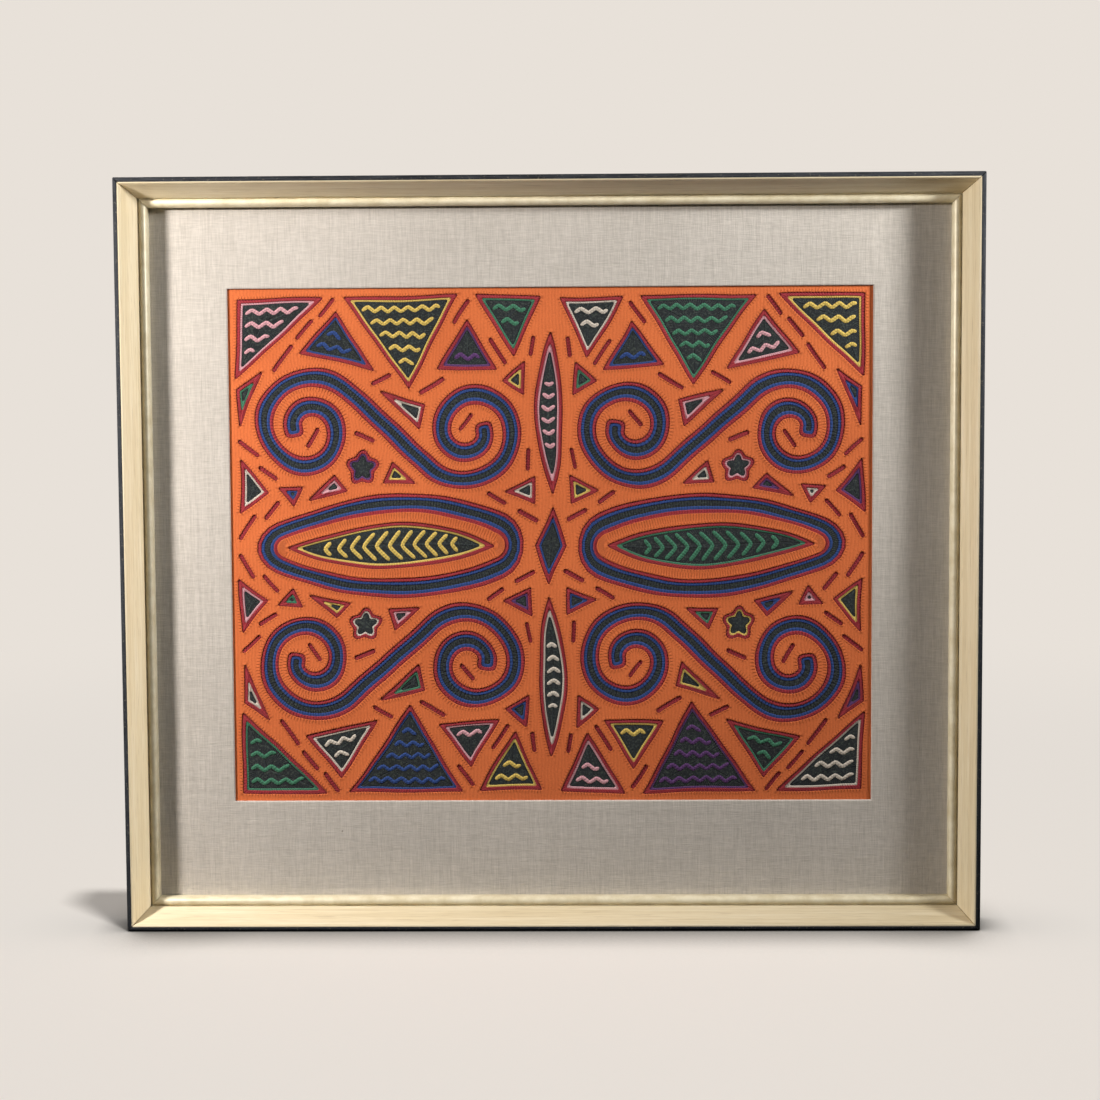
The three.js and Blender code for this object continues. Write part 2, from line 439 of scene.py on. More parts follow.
# %% Pale gilt bead
def pale_gilt():
    """A thin pale gilt over clay, burnished on the bead and rubbed thin in clouds."""
    material, tree, shader, place = new_material("pale_gilt_over_clay", 0.44)
    shader.inputs["Metallic"].default_value = 0.12
    clouds = {"Vector": place, "Scale": 90, "Detail": 5, "Roughness": 0.6}
    rubbed = add_node(tree, "TexNoise", clouds)
    stops = ((0.3, "#d8cba8"), (0.62, "#f0e7cb"))
    gilded = add_node(tree, "ValToRGB", {"Fac": rubbed}, stops=stops)
    cover(tree, shader, gilded, rubbed, 0.2, 0.1 * MM)
    return material


gilt = pale_gilt()


def make_slip(side):
    slip = smooth_copy(f"slip_{side}", f"beaded_slip_{side}")
    ease_edges(slip, 0.12 * MM, 50)
    slip.data.materials.append(gilt)
    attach(slip, "root")
    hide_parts(f"slip_{side}")
    return slip


slips = [make_slip(side) for side in INWARD]
print("slips:", [(s.name, len(s.data.polygons)) for s in slips])

# %% [markdown]
# ## Light for the frame's edges
#
# The photo shows the bevels and the slip brighter than the two lamps make them, as a photographer
# gets by feathering a lamp along a frame. A few small lamps stand beside the others for that, and
# each lights only the pieces that are named in its row.

# %% Edge lamps
EDGE_LAMPS = (
    (("moulding_left",), (0.40, -0.36, 0.06), (-0.29, 0.0, 0.2), 0.25, 2.3),
    (("moulding_right", "beaded_slip_right"), (-0.7, -0.42, 0.6), (0.29, 0.0, 0.2), 0.12, 2.2),
    (("beaded_slip_top",), (0.1, -1.4, 0.75), (0.0, 0.0, 0.4), 0.3, 4.4),
    (("beaded_slip_bottom",), (0.1, -1.4, 0.75), (0.0, 0.0, 0.4), 0.3, 2.0),
)
for pieces, place, aim, size, power in EDGE_LAMPS:
    lamp = area_light(f"edge_of_{pieces[0]}", place, aim, size, power, "#fff8ee")
    lit_pieces = bpy.data.collections.new(f"lit_with_{pieces[0]}")
    for name in pieces:
        lit_pieces.objects.link(bpy.data.objects[name])
    lamp.light_linking.receiver_collection = lit_pieces
print(len(EDGE_LAMPS), "edge lamps")

# %% [markdown]
# ## The linen mat
#
# The mat is a board wrapped in natural linen. The cloth is pulled round the window's edge, so that
# edge is soft and rounded. It is built as rings of points that step from the outer edge inwards
# over the front, round the window's edge and back behind. The weave is a plain one, and what the
# eye sees at this distance is its slubs: threads that run thicker for a few centimetres.


# %% Helper that lofts rings of points into a mesh
def ring_faces(count, rings, closed=False):
    """Quads between rings of the same number of points, each ring following the last."""
    here = np.arange(count)
    after = (here + 1) % count
    steps = range(rings if closed else rings - 1)
    faces = []
    for step in steps:
        a, b = step * count, ((step + 1) % rings) * count
        faces.append(np.stack([a + here, a + after, b + after, b + here], 1))
    return np.concatenate(faces)


# %% Linen, its threads and slubs
def linen_cloth():
    """Natural linen in plain weave, drawn with threads at 1.3 mm, twice as coarse as the real
    ones, so that they show; slubs are streaks along both threads."""
    sheen = {"Sheen Weight": 0.15, "Sheen Roughness": 0.5}
    material, tree, shader, place = new_material("natural_linen", 0.95, 0.2, sheen)
    weft = streaks(tree, place, (150, 60, 2100))
    warp = streaks(tree, place, (2100, 60, 110))
    slubs = streaks(tree, place, (760, 60, 26))
    clouds = streaks(tree, place, (9, 9, 9))
    threads = add_node(tree, "Math", {0: weft, 1: 1.0, 2: warp}, operation="MULTIPLY_ADD")
    tone = add_node(tree, "Math", {0: slubs, 1: 0.5, 2: threads}, operation="MULTIPLY_ADD")
    tone = add_node(tree, "Math", {0: clouds, 1: 0.5, 2: tone}, operation="MULTIPLY_ADD")
    scaled = add_node(tree, "MapRange", {"Value": tone, 1: 1.1, 2: 1.9, 3: 0.0, 4: 1.0})
    stops = ((0.0, "#b9b3aa"), (1.0, "#d8d1c8"))
    thread_tone = add_node(tree, "ValToRGB", {"Fac": scaled}, stops=stops)
    # a few dark flecks of flax straw, about a millimetre long
    base = specks(tree, place, thread_tone, "#6f6456", 260, 1, 0.80, 0.84, 0.6)
    # the weave: two waves at right angles, multiplied
    wave = {"Vector": place, "Scale": 0.314 / math.tau / (1.3 * MM), "Distortion": 0.6}
    across = add_node(tree, "TexWave", wave, out="Fac", bands_direction="X")
    upright = add_node(tree, "TexWave", wave, out="Fac", bands_direction="Z")
    weave = add_node(tree, "Math", {0: across, 1: upright}, operation="MULTIPLY")
    relief = add_node(tree, "Math", {0: weave, 1: 0.5, 2: threads}, operation="MULTIPLY_ADD")
    cover(tree, shader, base, relief, 0.6, 0.3 * MM)
    return material


linen = linen_cloth()

# %% The mat's rings
WINDOW_HALF_W, WINDOW_HALF_H = 218.5 * MM, 175.5 * MM
WINDOW_Z = 260.3 * MM
MAT_FRONT, MAT_BACK = 8.0 * MM, 9.5 * MM
EDGE_ROUND = 1.1 * MM
mat_low, mat_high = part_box("linen_mat")


def rectangle_ring(left, right, bottom, top, y, per_side=48):
    """Points round an upright rectangle, the same number on each side."""
    step = np.arange(per_side) / per_side
    ones = np.ones(per_side)
    wide, high = right - left, top - bottom
    x = np.concatenate([left + wide * step, right * ones, right - wide * step, left * ones])
    z = np.concatenate([bottom * ones, bottom + high * step, top * ones, top - high * step])
    return np.stack([x, np.full(len(x), y), z], 1)


def window_ring(out, y):
    """A ring that lies a little outside the window's clear opening."""
    low, high = WINDOW_Z - WINDOW_HALF_H - out, WINDOW_Z + WINDOW_HALF_H + out
    return rectangle_ring(-WINDOW_HALF_W - out, WINDOW_HALF_W + out, low, high, y)


def make_mat():
    outer = rectangle_ring(mat_low[0], mat_high[0], mat_low[2], mat_high[2], MAT_FRONT)
    inner = window_ring(EDGE_ROUND, MAT_FRONT)
    rings = [outer + (inner - outer) * t for t in np.linspace(0, 1, 16)]
    # the linen is never quite flat: it dips and swells by a tenth of a millimetre
    for ring in rings[1:-1]:
        ring[:, 1] += 0.12 * MM * np.sin(ring[:, 0] * 47 + 1) * np.sin(ring[:, 2] * 61)
    for angle in np.radians(np.linspace(10, 90, 9)):
        out = EDGE_ROUND * (1 - math.sin(angle))
        rings.append(window_ring(out, MAT_FRONT + EDGE_ROUND * (1 - math.cos(angle))))
    for ring in (rings[-1], outer):
        behind = ring.copy()
        behind[:, 1] = MAT_BACK
        rings.append(behind)
    faces = ring_faces(len(outer), len(rings), closed=True)
    mat = make_mesh_piece("linen_over_board", np.concatenate(rings), faces, [linen])
    face_outwards(mat)
    bpy.ops.object.shade_smooth_by_angle(angle=math.radians(50))
    return mat


mat = make_mat()
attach(mat, "root")
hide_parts("linen_mat")

# %% [markdown]
# ## The mola: how such a cloth is made
#
# A mola is made from whole cloths of different colours stacked on each other. The maker cuts a
# slit through the upper cloth, turns its edge under and hems it with tiny stitches, so that the
# cloth below shows in the gap, then does the same with that cloth inside the first gap. This cloth
# is built the same way: each motif is a family of parallel outlines, and each layer is a strip
# lofted between two of them, with a rounded hem that lies a little above the layer below.
#
# First come the outlines. Every function below takes an offset in millimetres: 0 is the edge of
# the hole in the orange cloth, a negative offset lies inside the motif, a positive one in the
# orange around it. Each gives the same number of points whatever the offset, so outlines of one
# motif can always be joined point to point.

# %% Outlines: a band along a path
BAND_HALF = 6.6  # half of the band's width, in mm like all lengths of the cloth
TIP_ROUND = 0.9  # how sharp the maker's scissors and folded hem can make a corner


def spin(radians):
    """A matrix that turns rows of points anticlockwise."""
    c, s = math.cos(radians), math.sin(radians)
    return np.array([[c, s], [-s, c]])


def scroll_path(mirror, start_radius=9.8, pitch=19.6, turns=1.37, stem=37.0, step=1.5):
    """An S-scroll: a spiral, a straight stem, and the same spiral turned half a turn."""
    angles = [0.0]
    while angles[-1] < turns * math.tau:
        radius = start_radius + pitch * angles[-1] / math.tau
        angles.append(angles[-1] + step / radius)
    a = np.array(angles) * turns * math.tau / angles[-1]
    radius = start_radius + pitch * a / math.tau
    spiral = np.stack([radius * np.cos(a), radius * np.sin(a)], 1)
    heading = spiral[-1] - spiral[-2]
    heading /= np.linalg.norm(heading)
    run = np.linspace(0, stem, int(stem / step) + 1)[1:, None]
    half = np.concatenate([spiral, spiral[-1] + heading * run])
    middle = half[-1].copy()
    half = half - middle
    # the scroll is turned so that the centres of its two spirals lie along X
    tilt = math.pi - math.atan2(-middle[1], -middle[0])
    half = half @ spin(tilt)
    return np.concatenate([half, -half[-2::-1]]) * [1, mirror]


def band_outline(path, offset, half_width=BAND_HALF, cap_steps=10, square=0.62, pointed=1.0):
    """The outline of a band along a path, with blunt, round or pointed ends."""
    along = np.gradient(path, axis=0)
    along /= np.linalg.norm(along, axis=1)[:, None]
    across = np.stack([-along[:, 1], along[:, 0]], 1)
    reach = half_width + offset

    def cap(end, heading, side):
        a = np.linspace(math.pi / 2, -math.pi / 2, cap_steps + 2)[1:-1]
        forward = pointed * reach * np.abs(np.cos(a)) ** square
        sideways = reach * np.sign(np.sin(a)) * np.abs(np.sin(a)) ** square
        return end + forward[:, None] * heading + sideways[:, None] * side

    left, right = path + reach * across, (path - reach * across)[::-1]
    return np.concatenate(
        [left, cap(path[-1], along[-1], across[-1]), right, cap(path[0], -along[0], -across[0])]
    )


# %% Outlines: leaves, straight-sided patches and rosettes
def leaf_outline(half_length, half_width, taper, offset, side_steps=70, tip_steps=6):
    """A lens of two arcs, made a little fuller towards one end."""
    radius = (half_length**2 + half_width**2) / (2 * half_width)
    drop = radius - half_width
    tip_round = TIP_ROUND + max(offset, 0)
    flank = radius + offset - tip_round
    spread = math.acos(drop / flank)
    reach = math.sqrt(flank**2 - drop**2)
    points = []
    for side in (1, -1):
        for a in np.linspace(-spread, spread, side_steps + 1):
            out = np.array([math.sin(a), math.cos(a)]) * side
            points.append(np.array([0, -drop * side]) + (flank + tip_round) * out)
        for a in np.linspace(spread, math.pi - spread, tip_steps + 2)[1:-1]:
            out = np.array([math.sin(a), math.cos(a)]) * side
            points.append(np.array([reach * side, 0]) + tip_round * out)
    p = np.array(points)
    return np.stack([p[:, 0], p[:, 1] * (1 + taper * p[:, 0] / half_length)], 1)


def patch_outline(corners, offset, step=2.6, corner_steps=5):
    """A straight-sided patch with its corners slightly rounded."""
    p = np.array(corners, float)
    edge = np.roll(p, -1, 0) - p
    if edge[0][0] * edge[1][1] - edge[0][1] * edge[1][0] < 0:
        p = p[::-1]
        edge = np.roll(p, -1, 0) - p
    length = np.linalg.norm(edge, axis=1)
    heading = edge / length[:, None]
    inward = np.stack([-heading[:, 1], heading[:, 0]], 1)
    rounding = TIP_ROUND + max(offset, 0)
    base = p + (rounding - offset) * inward
    count = len(p)
    centres = []
    for i in range(count):
        lines = np.array([heading[i - 1], -heading[i]]).T
        s = np.linalg.solve(lines, base[i] - base[i - 1])
        centres.append(base[i - 1] + s[0] * heading[i - 1])
    points = []
    for i in range(count):
        start = math.atan2(-inward[i - 1][1], -inward[i - 1][0])
        end = math.atan2(-inward[i][1], -inward[i][0])
        end += math.tau * (end < start)
        for a in np.linspace(start, end, corner_steps):
            points.append(centres[i] + rounding * np.array([math.cos(a), math.sin(a)]))
        sides = max(2, int(length[i] / step))
        first = centres[i] - rounding * inward[i]
        last = centres[(i + 1) % count] - rounding * inward[i]
        points += [first + (last - first) * k / sides for k in range(1, sides)]
    return np.array(points)


def rosette_outline(radius, petals, depth, offset, steps=90):
    """A round patch with shallow petals."""
    a = np.linspace(0, math.tau, steps, endpoint=False)
    r = radius * (1 + depth * np.cos(petals * a)) + offset
    return np.stack([r * np.cos(a), r * np.sin(a)], 1)


def placed(points, x, z, degrees=0.0):
    return np.asarray(points) @ spin(math.radians(degrees)) + [x, z]


def by_hand(p):
    """The small wander of scissors and needle: about 1 mm over a palm's width, and a quarter of
    a millimetre from stitch to stitch. All layers share it, so they stay nested."""
    x, z = p[:, 0], p[:, 1]
    dx = np.sin(x / 31 + z / 23) + 0.7 * np.sin(z / 17 - x / 41) + 0.25 * np.sin(x / 6.1 + z / 7.7)
    dz = np.sin(z / 29 - x / 37) + 0.7 * np.sin(x / 19 + z / 43) + 0.25 * np.sin(z / 5.3 - x / 8.9)
    return p + np.stack([dx, dz], 1)


# %% [markdown]
# ## The layout
#
# The design is a plain field pattern: four S-scrolls, two leaves that a band echoes, two upright
# leaves on the middle line, and patches that fill what is left, as mola makers leave no field
# empty. One quarter is laid out, and mirrored to the other three with other colours.

# %% The table of motifs
QUARTERS = ((1, 1), (-1, 1), (1, -1), (-1, -1))
SCROLL_X, SCROLL_Z = 110, 80
ECHO = 20.2  # how far outside its leaf the echoing band's outer edge lies
BAND_WIDTH = 2 * BAND_HALF

# x, z, turn in degrees, half length, half width, taper, colour, has an echo
LEAVES = (
    (-109, 0, 0, 72, 16, 0.10, "yellow", True),
    (109, 0, 180, 72, 16, 0.10, "green", True),
    (0, 90, 90, 58, 10, 0.0, "pink", False),
    (0, -90, -90, 58, 10, 0.0, "white", False),
)
# corners in one quarter, then the colour in each of the four
PATCHES = (
    (((141, 170), (60, 170), (97, 107)), ("green", "yellow", "purple", "blue")),
    (((213, 170), (154, 170), (213, 114)), ("yellow", "pink", "white", "green")),
    (((50, 170), (6, 170), (24, 128)), ("white", "green", "pink", "yellow")),
    (((213, 60), (213, 21), (193, 37)), ("purple", "white", "yellow", "pink")),
    (((146, 160), (119, 118), (171, 131)), ("pink", "blue", "green", "white")),
    (((54, 154), (35, 120), (78, 121)), ("blue", "purple", "yellow", "pink")),
    (((11, 47), (12, 27), (33, 37)), ("yellow", "white", "blue", "purple")),
    (((16.5, 127), (16.5, 102), (33, 113)), ("green", "yellow", "white", "blue")),
    (((188, 41), (169, 42), (176, 28)), ("white", "blue", "pink", "green")),
    (((119, 106), (86, 98), (90, 80)), ("pink", "white", "yellow", "green")),
    (((107, 59), (89, 43), (113, 43)), ("white", "yellow", "green", "pink")),
    (((147, 50), (137, 39), (168, 32)), ("purple", "pink", "blue", "yellow")),
    (((212, 108), (193, 122), (212, 78)), ("blue", "green", "purple", "white")),
)
# small slits in the field of one quarter: x and z of one end, then of the other
SLITS = (
    (89, 106, 74, 115), (186, 121, 176, 136), (211, 6, 203, 20), (201, 62, 212, 71),
    (195, 20, 187, 30), (121, 72, 132, 77), (11, 17, 22, 23), (16, 52, 15, 64),
    (121, 110, 110, 116), (189, 47, 199, 53), (32, 29, 42, 36), (13, 131, 11, 142),
    (62, 82, 55, 91), (165, 69, 158, 79), (172, 142, 163, 153), (63, 152, 54, 165),
    (157, 157, 148, 168), (30, 125, 39, 140),
)  # fmt: skip
SLIT_HALF = 1.5
ROSETTES = ("pink", "purple", "yellow", "white")
ROSETTE_X, ROSETTE_Z, ROSETTE_DEPTH = 127, 54, 9.0
LOZENGE = ((0, 27), (-10.5, 0), (0, -27), (10.5, 0))

motifs = []  # each is a kind, a colour, its outline as a function of the offset, and its depth
for qx, qz in QUARTERS:
    path = placed(scroll_path(qx * qz), SCROLL_X * qx, SCROLL_Z * qz)
    motifs.append(("band", "blue", lambda o, path=path: band_outline(path, o), BAND_HALF))
for x, z, degrees, half_length, half_width, taper, tone, echoed in LEAVES:

    def outline(o, leaf=(half_length, half_width, taper), at=(x, z, degrees)):
        return placed(leaf_outline(*leaf, o), *at)

    motifs.append(("leaf", tone, outline, half_width))
    if echoed:
        motifs.append(("echo", "blue", lambda o, f=outline: f(ECHO + o), BAND_HALF))


def inner_radius(corners):
    """The radius of the largest circle in a three-sided patch, or near it in a lozenge."""
    p = np.array(corners, float)
    q = np.roll(p, -1, 0)
    area = abs(np.sum(p[:, 0] * q[:, 1] - p[:, 1] * q[:, 0])) / 2
    return 2 * area / np.linalg.norm(q - p, axis=1).sum()


for corners, tones in PATCHES:
    depth = inner_radius(corners)
    for quarter, tone in zip(QUARTERS, tones):
        here = np.array(corners) * quarter
        motifs.append(("patch", tone, lambda o, c=here: patch_outline(c, o), depth))
motifs.append(("patch", "blue", lambda o: patch_outline(LOZENGE, o), inner_radius(LOZENGE)))
for (qx, qz), tone in zip(QUARTERS, ROSETTES):

    def outline(o, at=(ROSETTE_X * qx, ROSETTE_Z * qz, 18)):
        return placed(rosette_outline(10.4, 5, 0.14, o), *at)

    motifs.append(("patch", tone, outline, ROSETTE_DEPTH))
for x0, z0, x1, z1 in SLITS:
    for quarter in QUARTERS:

        def outline(o, path=np.linspace((x0, z0), (x1, z1), 9) * quarter):
            return band_outline(path, o, SLIT_HALF, 6, 1.0)

        motifs.append(("slit", "red", outline, SLIT_HALF))
print(len(motifs), "motifs")

# %% [markdown]
# ## Cotton
#
# All layers are the same thin cotton in different dyes, so one function makes the finish from a
# colour. Its plain weave is drawn at 0.9 mm, coarser than the real 0.4 mm, so that it shows. The
# strips carry a UV map in millimetres: along the hem and across it. The hem's small stitches pull
# the cloth into ribs 2 mm apart, which are drawn from it with painted shade in their dips, and the
# fold at the hem gets painted shade.

# %% Cotton finish
RIB_PITCH = 2.0  # along the hem, in mm
GATHER_PITCH = 2.3 * MM


def cotton(name, base_hex, dark_hex, ribs=0.35, mottle=None, hem=0.0, gathers=0.0):
    """Plain cotton in one dye. Painted shade in its ribs, hem's fold and gathers darkens it by up
    to the shares given, and a mottle is the colour of the lint that shows on dark cloth."""
    sheen = {"Sheen Weight": 0.1, "Sheen Roughness": 0.6}
    material, tree, shader, place = new_material(name, 0.9, 0.15, sheen)
    uv = add_node(tree, "UVMap", uv_map="hem")
    along = add_node(tree, "SeparateXYZ", {0: uv})
    across = along.node.outputs[1]
    # ribs: a wave along the hem, pushed about by noise so that no two are alike
    push = add_node(tree, "TexNoise", {"Vector": place, "Scale": 220, "Detail": 2})
    pushed = add_node(tree, "Math", {0: push, 1: 1.1, 2: along}, operation="MULTIPLY_ADD")
    phase = add_node(tree, "Math", {0: pushed, 1: math.tau / RIB_PITCH}, operation="MULTIPLY")
    wave = add_node(tree, "Math", {0: phase}, operation="SINE")
    rib = add_node(tree, "MapRange", {"Value": wave, 1: -1.0, 2: 0.2, 3: 0.0, 4: 1.0})
    # the pull of the stitches dies away from the hem, and the open field has none
    pull = add_node(tree, "MapRange", {"Value": across, 1: 1.4, 2: 4.4, 3: 1.0, 4: 0.0})
    dip = add_node(tree, "Math", {0: 1.0, 1: rib}, operation="SUBTRACT")
    dip = add_node(tree, "Math", {0: dip, 1: pull}, operation="MULTIPLY")
    if gathers:
        # painted shade in faint upright gathers, where the whole cloth has been drawn together
        x = add_node(tree, "SeparateXYZ", {0: place})
        sway = add_node(tree, "TexNoise", {"Vector": place, "Scale": 45, "Detail": 2})
        turns = add_node(tree, "Math", {0: x, 1: math.tau / GATHER_PITCH}, operation="MULTIPLY")
        turns = add_node(tree, "Math", {0: sway, 1: 14.0, 2: turns}, operation="MULTIPLY_ADD")
        wave = add_node(tree, "Math", {0: turns}, operation="SINE")
        fold = add_node(tree, "MapRange", {"Value": wave, 1: -1.0, 2: 0.6, 3: gathers, 4: 0.0})
        field = add_node(tree, "Math", {0: 1.0, 1: pull}, operation="SUBTRACT")
        dip = add_node(tree, "Math", {0: fold, 1: field, 2: dip}, operation="MULTIPLY_ADD")
    # weave and slubs
    weft = streaks(tree, place, (520, 520, 2200))
    warp = streaks(tree, place, (2200, 520, 520))
    weave = add_node(tree, "Math", {0: weft, 1: warp}, operation="ADD")
    faded = add_node(tree, "TexNoise", {"Vector": place, "Scale": 14, "Detail": 4})
    # what darkens it: weave, painted shade in the ribs, uneven fading and painted shade in the
    # fold at the hem
    shades = [
        add_node(tree, "MapRange", {"Value": weave, 1: 0.75, 2: 1.2, 3: 0.22, 4: 0.0}),
        add_node(tree, "Math", {0: dip, 1: ribs}, operation="MULTIPLY"),
        add_node(tree, "MapRange", {"Value": faded, 1: 0.35, 2: 0.7, 3: 0.15, 4: -0.05}),
    ]
    # painted shade along the fold at the hem, darkest next to the cloth above
    if hem:
        turned = {"Value": across, 1: -0.1, 2: -hem, 3: 0.75, 4: 0.0}
        shades.append(add_node(tree, "MapRange", turned))
    total = shades[0]
    for shade in shades[1:]:
        total = add_node(tree, "Math", {0: total, 1: shade}, operation="ADD")
    share = add_node(tree, "Math", {0: total, 1: 1.0}, operation="MULTIPLY", use_clamp=True)
    tones = {"Factor": share, 6: colour(base_hex), 7: colour(dark_hex)}
    base = add_node(tree, "Mix", tones, out=2, data_type="RGBA")
    if mottle:
        base = specks(tree, place, base, mottle, 900, 3, 0.5, 0.68, 0.5)
    dent = -2.0 * min(ribs * 2, 1)
    height = add_node(tree, "Math", {0: dip, 1: dent, 2: weave}, operation="MULTIPLY_ADD")
    cover(tree, shader, base, height, 0.7, 0.22 * MM)
    return material


# Dyed plain-weave cotton: matt, a little faded, ribbed along its hems
DYES = {
    "orange": cotton("orange_cotton", "#ea7c44", "#a04420", 0.45, gathers=0.28),
    "red": cotton("red_cotton", "#b53c45", "#661a22", hem=0.9),
    "blue": cotton("blue_cotton", "#345294", "#1c2c56"),
    "black": cotton("black_cotton", "#30363a", "#0e1011", 0.6, mottle="#59645a"),
    "yellow": cotton("yellow_cotton", "#ecd06f", "#a8873a"),
    "pink": cotton("pink_cotton", "#e6b0b8", "#a8727c"),
    "green": cotton("green_cotton", "#4c8a6c", "#22503c"),
    "purple": cotton("purple_cotton", "#6a447c", "#38204a"),
    "white": cotton("white_cotton", "#e2d8ca", "#a0968a"),
}
DYE_ORDER = list(DYES)
print("dyes:", DYE_ORDER)

# %% [markdown]
# ## Lofting the layers
#
# A layer's section is a short table of offsets and heights: how far from the hole's edge, and how
# far above the cloth's back. The last row of an upper layer tucks under its own hem, so the hem is
# a real rounded fold with a shadow under it. Strips are collected as arrays and joined, one piece
# for each layer of cloth, because thousands of small parts would only slow everything down.

# %% Sections of the layers, as (offset, height) in mm
PLATEAU = 1.55  # height of the orange field
# how far the hem reaches round a motif
REACH = {"band": 3.0, "echo": 3.0, "leaf": 2.4, "patch": 2.4, "slit": 1.4}
HEM_ROLL = (
    (1.9, 1.60), (1.2, 1.70), (0.6, 1.73), (0.2, 1.62), (0.0, 1.40), (0.12, 1.18), (0.6, 1.08),
)  # fmt: skip
SLIT_HEM = ((0.8, 1.65), (0.4, 1.66), (0.1, 1.52), (0.0, 1.35), (0.12, 1.18), (0.6, 1.08))
RED_STRIP = (
    (0.5, 0.98), (-0.2, 1.02), (-0.8, 1.10), (-1.5, 1.21), (-2.05, 1.20), (-2.4, 1.05),
    (-2.5, 0.86), (-2.3, 0.68), (-1.9, 0.62),
)  # fmt: skip
BLUE_STRIP = (
    (-1.9, 0.52), (-2.6, 0.62), (-3.3, 0.74), (-4.0, 0.80), (-4.4, 0.72), (-4.65, 0.55),
    (-4.55, 0.36), (-4.2, 0.28),
)  # fmt: skip
EDGING = (
    (-1.8, 0.52), (-2.3, 0.68), (-2.8, 0.84), (-3.3, 0.86), (-3.7, 0.72), (-3.85, 0.48),
    (-3.6, 0.34),
)  # fmt: skip
BLACK_BAND = ((-4.1, 0.20), (-4.8, 0.32), (-5.6, 0.42), (-6.6, 0.46))
SLIT_FLOOR = ((0.5, 0.98), (-0.3, 0.93), (-0.9, 0.90), (-1.47, 0.90))
# a stitch comes up through the hem, rolls over its fold and goes down beside it
STITCH_OVER_ORANGE = ((0.95, 1.66), (0.50, 1.86), (0.02, 1.68), (-0.45, 1.02))
STITCH_OVER_RED = ((-1.50, 1.14), (-1.95, 1.34), (-2.42, 1.18), (-2.85, 0.62))
CLOTH_BACK = 11.4  # depth of the cloth's back in the row frame, in mm
OPEN = 9.0  # a distance from the hem at which its pull no longer shows
AT_RED_HEM = -1.5  # where the red cloth's stitches lie


class Layer:
    """Collects strips of one cloth: points, faces, UVs by face corner, and a dye for each face."""

    def __init__(self):
        self.points, self.faces, self.uvs, self.dyes, self.count = [], [], [], [], 0

    def add(self, points, faces, uvs, dye):
        self.points.append(points)
        self.faces.append(faces + self.count)
        self.uvs.append(uvs)
        self.dyes.append(np.full(len(faces), dye))
        self.count += len(points)


def to_room(flat, height):
    """Layout points and heights above the cloth's back, in mm, to metres in the row frame."""
    warped = by_hand(np.asarray(flat, float))
    depth = CLOTH_BACK - np.broadcast_to(height, len(warped))
    return np.stack([warped[:, 0], depth, warped[:, 1] + WINDOW_Z / MM], 1) * MM


def faces_back(points, face):
    """Whether a face turns its front to +Y; the front of the cloth faces -Y."""
    a, b, c = (points[k] for k in face[:3])
    return np.cross(b - a, c - a)[1] > 0


def hem_length(loop):
    """Arc length along a closed outline, stretched a little so that whole ribs fit in it."""
    gaps = np.linalg.norm(np.roll(loop, -1, 0) - loop, axis=1)
    length = np.concatenate([[0], np.cumsum(gaps)])
    return length * (RIB_PITCH * round(length[-1] / RIB_PITCH) / length[-1])


def loft(layer, outline, section, dye, fade=1.0):
    """A strip of cloth through an outline's offsets, one for each row of its section."""
    loops = [outline(o) for o, _ in section]
    along = hem_length(outline(0.0))
    count = len(loops[0])
    points = np.concatenate([to_room(l, h) for l, (_, h) in zip(loops, section)])
    faces = ring_faces(count, len(loops))
    here = np.tile(np.arange(count), len(loops) - 1)
    row = np.repeat(np.arange(len(loops) - 1), count)
    across = np.array([o * fade if o > 0 else o for o, _ in section])
    corners = ((0, 0), (1, 0), (1, 1), (0, 1))
    uvs = np.stack([np.stack([along[here + u], across[row + v]], 1) for u, v in corners], 1)
    if faces_back(points, faces[0]):
        faces, uvs = faces[:, ::-1], uvs[:, ::-1]
    layer.add(points, faces, uvs, DYE_ORDER.index(dye))


# %% Stitches over a hem
THREAD_RADIUS = 0.17  # in mm, sewing thread of two plies
STITCH_SLANT = 0.28


def sew(layer, outline, crossing, dye, v):
    """A row of slanted stitches over a hem, one for each rib: a short thread of two rings of four
    points, pointed where it goes into the cloth."""
    along = hem_length(outline(0.0))
    loops = [outline(o) for o, _ in crossing]
    starts = np.arange(0, along[-1] - 0.5 * RIB_PITCH, RIB_PITCH) + 0.25 * RIB_PITCH
    rows = []
    for j, (loop, (_, height)) in enumerate(zip(loops, crossing)):
        closed = np.concatenate([loop, loop[:1]])
        s = starts + STITCH_SLANT * j
        flat = np.stack([np.interp(s, along, closed[:, k]) for k in (0, 1)], 1)
        rows.append(to_room(flat, height))
    start, first, second, end = rows
    thread = end - start
    thread /= np.linalg.norm(thread, axis=1)[:, None]
    side = np.cross(thread, [0.0, 1.0, 0.0])
    side /= np.linalg.norm(side, axis=1)[:, None]
    up = np.cross(thread, side)
    r = THREAD_RADIUS * MM
    corners = (side * r, up * r, -side * r, -up * r)
    parts = [start, *(first + c for c in corners), *(second + c for c in corners), end]
    points = np.stack(parts, 1).reshape(-1, 3)
    ring = [(k, (k + 1) % 4) for k in range(4)]
    one = [(0, 1 + a, 1 + b, 1 + b) for a, b in ring]
    one += [(1 + a, 5 + a, 5 + b, 1 + b) for a, b in ring]
    one += [(9, 5 + b, 5 + a, 5 + a) for a, b in ring]
    one = np.array(one)
    a, b, c = points[one[4][:3]]
    if np.dot(np.cross(b - a, c - a), a - (first[0] + second[0]) / 2) < 0:
        one = one[:, ::-1]
    faces = (one[None] + 10 * np.arange(len(starts))[:, None, None]).reshape(-1, 4)
    uvs = np.full((len(faces), 4, 2), (RIB_PITCH / 4, v))
    layer.add(points, faces, uvs, DYE_ORDER.index(dye))


# %% The field of orange cloth between the holes
FIELD_HALF_W, FIELD_HALF_H = 228.0, 185.0
GRID = 5.0
CLEAR_OF_HOLES = 2.2  # grid points keep this far from the holes' edges
FLAT_AT_WINDOW = 3.0  # the field stays flat this close to the window's edge


